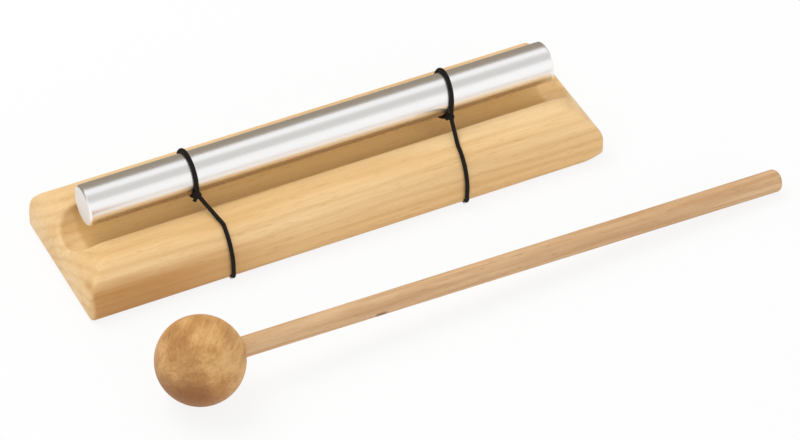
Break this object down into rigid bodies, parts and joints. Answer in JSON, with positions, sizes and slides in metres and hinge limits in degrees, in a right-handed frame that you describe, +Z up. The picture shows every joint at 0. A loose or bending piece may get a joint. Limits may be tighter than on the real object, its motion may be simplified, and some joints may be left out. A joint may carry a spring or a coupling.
{
  "type": "chime bar",
  "caption": "Polished metal rod hung in elastic cord loops over a grooved, rounded wooden base, with a separate ball-headed wooden mallet.",
  "frame": {"origin": "middle of the base's flat underside", "axes": "+X along the rod to the right, +Y to the back, away from the mallet, +Z up"},
  "size_m": [0.21, 0.1041, 0.0307],
  "materials": {
    "base_wood": "satin oiled hardwood",
    "rod_metal": "polished",
    "cord": "matt covered elastic",
    "head_wood": "turned, matt",
    "stick_wood": "sanded, matt"
  },
  "bodies": {
    "base": {"base_block": "base_wood"},
    "cords": {"cord_left": "cord", "cord_right": "cord"},
    "rod": {"chime_rod": "rod_metal"},
    "mallet": {"mallet_head": "head_wood", "mallet_stick": "stick_wood"}
  },
  "joints": [
    {"name": "rod_bounce", "type": "slide", "parent": "base", "child": "cords", "axis": [0, 0, 1], "range_m": [-0.005, 0.003], "stiffness_N_per_m": 800, "springref_m": 0.00065, "deforming": ["cord_left", "cord_right"]},
    {"name": "rod_roll", "type": "hinge", "parent": "cords", "child": "rod", "pos_m": [0.0002, 0, 0.02275], "axis": [1, 0, 0], "continuous": true},
    {"name": "mallet_lift", "type": "slide", "parent": "base", "child": "mallet", "axis": [0, 0, 1], "range_m": [0, 0.15]}
  ]
}
